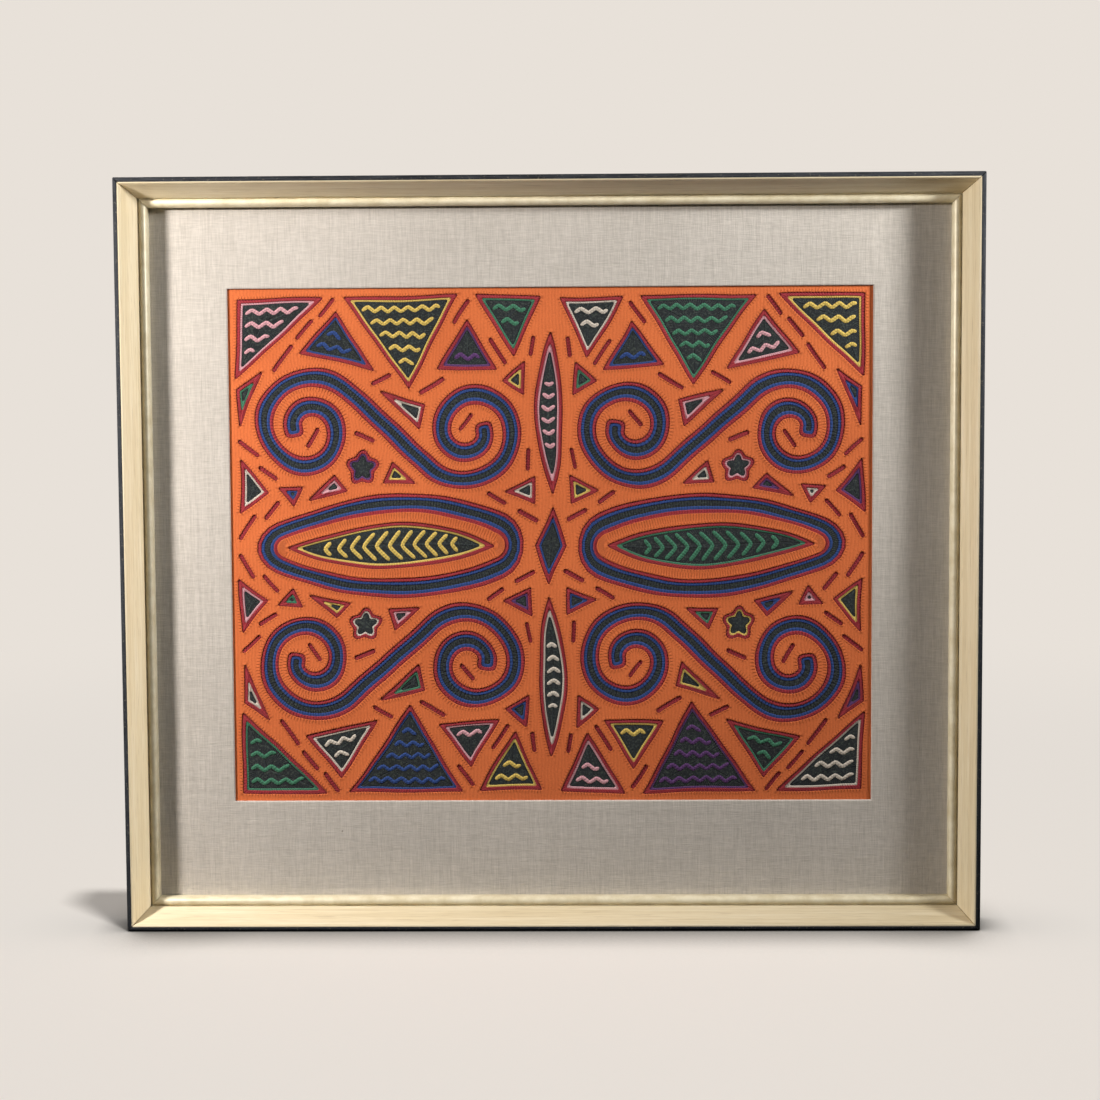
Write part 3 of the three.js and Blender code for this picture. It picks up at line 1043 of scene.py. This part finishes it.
def inside(points, loop):
    """Which points lie in a closed outline."""
    x, y = points[:, 0][:, None], points[:, 1][:, None]
    x0, y0 = loop[:, 0], loop[:, 1]
    x1, y1 = np.roll(x0, -1), np.roll(y0, -1)
    crosses = (y0 > y) != (y1 > y)
    with np.errstate(divide="ignore", invalid="ignore"):
        meets = x < (x1 - x0) * (y - y0) / (y1 - y0) + x0
    return (crosses & meets).sum(1) % 2 == 1


def field(layer, holes, dye):
    """Fills the cloth between its outer edge and the holes with even triangles."""
    halves = (FIELD_HALF_W, FIELD_HALF_H)
    xs, zs = (np.linspace(-half, half, int(2 * half / GRID) + 1) for half in halves)
    rim = [(x, zs[0]) for x in xs] + [(xs[-1], z) for z in zs[1:]]
    rim += [(x, zs[-1]) for x in xs[-2::-1]] + [(xs[0], z) for z in zs[-2:0:-1]]
    grid = np.array([(x, z) for x in xs[1:-1] for z in zs[1:-1]])
    for hole in holes:
        near = ((grid > hole.min(0)) & (grid < hole.max(0))).all(1)
        near[near] = inside(grid[near], hole)
        grid = grid[~near]
    border = np.concatenate(holes)
    clear = [np.min(np.sum((border - g) ** 2, 1)) > CLEAR_OF_HOLES**2 for g in grid]
    grid = grid[clear]
    verts, edges = [], []
    for loop in (rim, *holes):
        start, n = len(verts), len(loop)
        verts += [Vector(p) for p in loop]
        edges += [(start + i, start + (i + 1) % n) for i in range(n)]
    verts += [Vector(p) for p in grid]
    flat, _, tris, *_ = delaunay_2d_cdt(verts, edges, [], 0, 1e-4)
    flat = np.array([tuple(p) for p in flat])
    tris = np.array(tris)
    centre = flat[tris].mean(1)
    keep = np.ones(len(tris), bool)
    for hole in holes:
        near = ((centre > hole.min(0)) & (centre < hole.max(0))).all(1) & keep
        keep[near] = ~inside(centre[near], hole)
    tris = tris[keep]
    x, z = flat[:, 0], flat[:, 1]
    swell = 0.10 * np.sin(x / 21 + 1) * np.sin(z / 17) + 0.06 * np.sin(x / 9 - z / 13)
    to_window = np.minimum(WINDOW_HALF_W / MM - np.abs(x), WINDOW_HALF_H / MM - np.abs(z))
    on_hem = np.arange(len(flat)) < len(rim) + len(border)
    swell = np.where(on_hem | (to_window < FLAT_AT_WINDOW), 0.0, swell)
    points = to_room(flat, PLATEAU + swell)
    if faces_back(points, tris[0]):
        tris = tris[:, ::-1]
    faces = np.concatenate([tris, tris[:, -1:]], 1)
    uvs = np.full((len(tris), 4, 2), (RIB_PITCH / 4, OPEN))
    layer.add(points, faces, uvs, DYE_ORDER.index(dye))
    return len(tris)


# %% Sew each motif's layers
top, red, bright, base = Layer(), Layer(), Layer(), Layer()
orange_thread, red_thread = Layer(), Layer()
holes = []


def band_section(section):
    """The same section from the band's other side."""
    return tuple((-BAND_WIDTH - o, h) for o, h in section)


PUFF_EDGE, PUFF_FOOT = -3.5, 0.25  # offset and height of a black patch's first row
PUFF_RISE, PUFF_RUN = 0.5, 2.2  # how high the patch swells, and over what distance


def puff(depth):
    """Rows that carry a black patch from under its edging to its middle, slightly crowned."""
    offsets = [PUFF_EDGE]
    offsets += [o for o in (-4.3, -5.5, -7.5, -10, -13, -16) if -o < depth - 1.6]
    offsets.append(-max(depth - 1.05, 3.8))
    share = [1 - math.exp((o - PUFF_EDGE) / PUFF_RUN) for o in offsets]
    return tuple((o, PUFF_FOOT + PUFF_RISE * part) for o, part in zip(offsets, share))


def close_middle(layer, outline, offset, height, dye):
    """A small fan that closes the middle of a patch."""
    loop = outline(offset)
    points = to_room(np.concatenate([loop, [loop.mean(0)]]), height)
    n = len(loop)
    here = np.arange(n)
    faces = np.stack([here, (here + 1) % n, np.full(n, n), np.full(n, n)], 1)
    if faces_back(points, faces[0]):
        faces = faces[:, [1, 0, 2, 3]]
    layer.add(points, faces, np.zeros((n, 4, 2)), DYE_ORDER.index(dye))


for kind, tone, outline, depth in motifs:
    reach, slit = REACH[kind], kind == "slit"
    orange_hem = ((reach, PLATEAU), *(SLIT_HEM if slit else HEM_ROLL))
    # an echo is hemmed along both of its sides, any other motif along its outline
    for side in (tuple, band_section) if kind == "echo" else (tuple,):
        loft(top, outline, side(orange_hem), "orange", fade=1.0 if kind == "band" else 1.5)
        loft(red, outline, side(SLIT_FLOOR if slit else RED_STRIP), "red")
        sew(orange_thread, outline, side(STITCH_OVER_ORANGE), "orange", OPEN)
        if not slit:
            sew(red_thread, outline, side(STITCH_OVER_RED), "red", AT_RED_HEM)
        if kind in ("band", "echo"):
            loft(bright, outline, side(BLUE_STRIP), tone)
            loft(base, outline, side(BLACK_BAND), "black")
    if kind == "echo":
        # the strip of orange left between the echo and its leaf
        gap = ECHO - BAND_WIDTH
        island = ((-BAND_WIDTH - reach, PLATEAU), (-BAND_WIDTH - gap + REACH["leaf"], PLATEAU))
        loft(top, outline, island, "orange")
    if kind in ("leaf", "patch"):
        loft(bright, outline, EDGING, tone)
        section = puff(depth)
        loft(base, outline, section, "black")
        close_middle(base, outline, *section[-1], "black")
    if not (kind == "leaf" and depth > 12):  # a wide leaf lies inside its echo's hole
        holes.append(outline(reach))

triangles = field(top, holes, "orange")
print("field filled with", triangles, "triangles")

# %% [markdown]
# ## Small applied strips
#
# Leaves carry rows of chevrons, and the larger patches carry zigzag lines. On a mola these are
# narrow slits whose turned edges show a coloured cloth. From the front they read as raised, rounded
# strips, so each is lofted round its own outline and lies on the black.

# %% Chevrons and zigzags
STRIP_HALF = 1.4


def strip(path, tone, height, half_width=STRIP_HALF):
    """A thin raised strip along a path, with pointed ends."""

    def outline(o):
        return band_outline(path, o, half_width, cap_steps=5, square=1.0, pointed=1.7)

    rows = ((0.0, -0.15), (-0.12, 0.22), (-0.5, 0.42), (-half_width + 0.05, 0.52))
    loft(bright, outline, [(offset, height + rise) for offset, rise in rows], tone)


def chevron(half_span, slope=0.95, bend=1.3, steps=11):
    """A V that opens along +X, with a rounded point."""
    s = np.linspace(-half_span, half_span, steps)
    return np.stack([slope * (np.sqrt(s**2 + bend**2) - bend), s], 1)


def leaf_half_width_at(half_length, half_width, taper, x):
    radius = (half_length**2 + half_width**2) / (2 * half_width)
    flank = math.sqrt(radius**2 - x**2) - (radius - half_width)
    return flank * (1 + taper * x / half_length)


CHEVRON_PITCH = 8.7
CHEVRON_SPANS = (0.8, 8.2)  # the least and the most that half a chevron spans
BARE_TIP = 12  # the length of a leaf's tip that is left plain
TO_LEAF_EDGE = 7.2  # what is left plain beside a chevron
for x, z, degrees, half_length, half_width, taper, tone, _ in LEAVES:
    count = int((half_length - BARE_TIP) * 2 / CHEVRON_PITCH)
    first = -(count - 1) / 2 * CHEVRON_PITCH - 2.0
    for at in first + CHEVRON_PITCH * np.arange(count):
        widest = min(at + 4, half_length - 1)
        span = leaf_half_width_at(half_length, half_width, taper, widest) - TO_LEAF_EDGE
        if span >= CHEVRON_SPANS[0]:
            arms = chevron(min(span, CHEVRON_SPANS[1])) + [at, 0]
            strip(placed(arms, x, z, degrees), tone, 0.62)


ZIGZAG_PITCH, ZIGZAG_WAVE, ZIGZAG_RISE = 8.8, 9.6, 1.9
CLEAR_OF_EDGING = -7.4
FIRST_LINE = 1.4  # how far the first line lies from the wider side
SHORTEST_LINE = 3.5


def crossings(loop, level):
    """Where a level line enters and leaves a closed outline."""
    ends = []
    for (x0, z0), (x1, z1) in zip(loop, np.roll(loop, -1, 0)):
        if (z0 - level) * (z1 - level) < 0:
            ends.append(x0 + (x1 - x0) * (level - z0) / (z1 - z0))
    return (min(ends), max(ends)) if len(ends) >= 2 else (0, 0)


def side_tilt(corners):
    """The tilt in degrees of the patch's most level side, which its zigzags follow."""
    edges = np.roll(corners, -1, 0) - np.array(corners, float)
    tilts = np.degrees(np.arctan2(edges[:, 1], edges[:, 0]))
    tilts = (tilts + 90) % 180 - 90
    return tilts[np.abs(tilts).argmin()]


def zigzag_lines(loop):
    """Level lines across a patch, counted from its wider side: start, end and level."""
    low, high = loop[:, 1].min(), loop[:, 1].max()
    width_low, width_high = (np.ptp(crossings(loop, z)) for z in (low + 1.2, high - 1.2))
    first, step = (low + FIRST_LINE, 1) if width_low > width_high else (high - FIRST_LINE, -1)
    count = int((high - low - FIRST_LINE) / ZIGZAG_PITCH) + 1
    lines = [(*crossings(loop, z), z) for z in first + step * ZIGZAG_PITCH * np.arange(count)]
    return [line for line in lines if line[1] - line[0] > SHORTEST_LINE]


for corners, tones in PATCHES:
    if inner_radius(corners) < 8.5:
        continue  # small patches are left plain
    for quarter, tone in zip(QUARTERS, tones):
        here = np.array(corners) * quarter
        tilt = side_tilt(here)
        level_patch = placed(patch_outline(here, CLEAR_OF_EDGING), 0, 0, -tilt)
        for start, end, level in zigzag_lines(level_patch):
            s = np.arange(start, end, 0.9)
            wave = np.arcsin(0.94 * np.sin(math.tau * (s - start) / ZIGZAG_WAVE))
            path = np.stack([s, level + ZIGZAG_RISE * 2 / math.pi * wave], 1)
            strip(placed(path, 0, 0, tilt), tone, 0.66, 1.3)
print("strips sewn on")


# %% Turn the collected layers into pieces
def cloth_piece(name, layer):
    """One mesh from a layer's strips, with three-sided faces where two corners are the same."""
    points, faces, uvs, dyes = map(
        np.concatenate, (layer.points, layer.faces, layer.uvs, layer.dyes)
    )
    used = sorted(set(dyes.tolist()))
    polygons, corner_uvs = [], []
    for f, uv in zip(faces.tolist(), uvs.tolist()):
        kept = slice(0, 3) if f[3] == f[2] else slice(f[0] == f[1], 4)
        polygons.append(f[kept])
        corner_uvs += uv[kept]
    materials = [DYES[DYE_ORDER[d]] for d in used]
    piece = make_mesh_piece(name, points, polygons, materials)
    mesh = piece.data
    slots = {d: i for i, d in enumerate(used)}
    mesh.polygons.foreach_set("material_index", [slots[d] for d in dyes.tolist()])
    layer_uv = mesh.uv_layers.new(name="hem")
    layer_uv.data.foreach_set("uv", np.array(corner_uvs, np.float32).ravel())
    mesh.update()
    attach(piece, "root")
    return piece


COLLECTED = (
    ("orange_top_cloth", top),
    ("red_cloth", red),
    ("bright_patches", bright),
    ("black_ground_cloth", base),
    ("orange_stitches", orange_thread),
    ("red_stitches", red_thread),
)
layers = [cloth_piece(name, layer) for name, layer in COLLECTED]
for piece in layers:
    piece.data.validate()
    print(piece.name, len(piece.data.polygons), "faces")

# %% [markdown]
# ## The cloth's back and the board
#
# Behind the layers lies the whole ground cloth, and behind that the board that closes the frame.
# The board is plain hardboard: smooth and brown, with faint fibres pressed into it.

# %% Ground cloth
GROUND_THICKNESS = 0.16 * MM


def ground_sheet():
    """The ground cloth as one thin sheet under the layers."""
    low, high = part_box("mola_cloth")
    back = CLOTH_BACK * MM
    depths = (back, back - GROUND_THICKNESS)
    rings = [rectangle_ring(low[0], high[0], low[2], high[2], y, 8) for y in depths]
    count = len(rings[0])
    faces = [*ring_faces(count, 2), range(count), range(count, 2 * count)]
    black = [DYES["black"]]
    sheet = make_mesh_piece("black_backing_cloth", np.concatenate(rings), faces, black, False)
    sheet.data.uv_layers.new(name="hem")
    face_outwards(sheet)
    return sheet


ground = ground_sheet()
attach(ground, "root")
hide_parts("mola_cloth")

# %% Hardboard
def hardboard():
    """Pressed wood fibre: smooth, brown, with short pale and dark fibres lying every way."""
    material, tree, shader, place = new_material("pressed_hardboard", 0.75)
    pressed = {"Vector": place, "Scale": 260, "Detail": 6, "Distortion": 1.5}
    fibres = add_node(tree, "TexNoise", pressed)
    clouds = add_node(tree, "TexNoise", {"Vector": place, "Scale": 12, "Detail": 3})
    both = add_node(tree, "Math", {0: clouds, 1: 0.5, 2: fibres}, operation="MULTIPLY_ADD")
    stops = ((0.55, "#5f4128"), (0.95, "#8d6a46"))
    brown = add_node(tree, "ValToRGB", {"Fac": both}, stops=stops)
    cover(tree, shader, brown, fibres, 0.25, 0.1 * MM)
    return material


board = smooth_copy("backing_board", "hardboard_back")
ease_edges(board, 0.3 * MM)
board.data.materials.append(hardboard())
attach(board, "root")
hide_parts("backing_board")

# %% [markdown]
# ## Brads
#
# The photo doesn't show the back, so what holds the board is a guess: the usual small brads, driven
# sideways into the rabbet's wall so that they lie over the board. One brad is modelled from a
# cylinder: one end is drawn out to a point and the other is upset into a flat head. The rest are
# copies of it, each turned a little its own way, and all are joined as one piece.

# %% One brad
BRAD_RADIUS, BRAD_SHAFT = 0.6 * MM, 10.5 * MM
# each step moves the end outwards in mm, then scales it
HEAD_STEPS = ((0.0, 2.1), (0.35, 1.0), (0.15, 0.8))
POINT_STEPS = ((0.6, 0.85), (1.0, 0.12))


def draw_out(piece, end, steps):
    """Extrudes the face at one end of the shaft (+1 or -1) in steps."""
    bpy.ops.object.mode_set(mode="EDIT")
    bpy.ops.mesh.select_mode(type="FACE")
    bpy.ops.mesh.select_all(action="DESELECT")
    bpy.ops.object.mode_set(mode="OBJECT")
    for face in piece.data.polygons:
        face.select = face.normal.z * end > 0.9
    bpy.ops.object.mode_set(mode="EDIT")
    for lift, scale in steps:
        bpy.ops.mesh.extrude_region_move(
            TRANSFORM_OT_translate={"value": (0, 0, lift * end * MM)}
        )
        bpy.ops.transform.resize(value=(scale, scale, 1))
    bpy.ops.object.mode_set(mode="OBJECT")


def make_brad():
    bpy.ops.object.select_all(action="DESELECT")
    bpy.ops.mesh.primitive_cylinder_add(vertices=16, radius=BRAD_RADIUS, depth=BRAD_SHAFT)
    brad = bpy.context.object
    draw_out(brad, 1, HEAD_STEPS)
    draw_out(brad, -1, POINT_STEPS)
    return brad


first_brad = make_brad()
print("one brad:", len(first_brad.data.polygons), "faces, ", first_brad.dimensions)

# %% All brads, driven into the rabbet
HEAD_INSET = 14.0 * MM  # how far inside the frame's outer side a brad's head lies
BRAD_Y = 15.7 * MM  # just behind the board
BRADS_ACROSS = (-0.22, -0.11, 0.0, 0.11, 0.22)
BRADS_UP = (0.075, 0.195, 0.315, 0.435)


def zinc_steel():
    """Steel wire, cut and headed, with a thin zinc plating: grey and softly shiny."""
    material, tree, shader, place = new_material("zinc_plated_steel", 0.35)
    shader.inputs["Metallic"].default_value = 1.0
    dulled = add_node(tree, "TexNoise", {"Vector": place, "Scale": 900, "Detail": 2})
    tones = {"Factor": dulled, 6: colour("#8f9294"), 7: colour("#c6c9ca")}
    base = add_node(tree, "Mix", tones, out=2, data_type="RGBA")
    tree.links.new(base, shader.inputs["Base Color"])
    return material


def brad_places():
    """(x, z, turn about Y) of each shaft's middle; its head points into the frame."""
    middle = HEAD_INSET - BRAD_SHAFT / 2
    for x in BRADS_ACROSS:
        yield x, middle, 0
        yield x, FRAME_HEIGHT - middle, 180
    for z in BRADS_UP:
        yield -FRAME_HALF_WIDTH + middle, z, 90
        yield FRAME_HALF_WIDTH - middle, z, -90


one = first_brad.data
points, faces = [], []
for k, (x, z, degrees) in enumerate(brad_places()):
    askew = 6 * math.sin(7 * k)
    turned = Matrix.Rotation(math.radians(degrees + askew), 4, "Y")
    driven = Matrix.Translation((x, BRAD_Y, z)) @ turned
    faces += [[len(points) + i for i in face.vertices] for face in one.polygons]
    points += [driven @ vertex.co for vertex in one.vertices]
bpy.data.objects.remove(first_brad)
brads = make_mesh_piece("brads", points, faces, [zinc_steel()])
select_only(brads)
bpy.ops.object.shade_smooth_by_angle(angle=math.radians(35))
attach(brads, "root")
print(len(brads.data.polygons) // len(one.polygons), "brads,", len(brads.data.polygons), "faces")

# %% [markdown]
#
# The last lines keep the solids' box and the dressed model's box side by side.

# %% Keep the sizes and finish
boxes = {"cad": cad_box, "visual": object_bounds()}
{k: [[float(v) for v in corner] for corner in b] for k, b in boxes.items()}
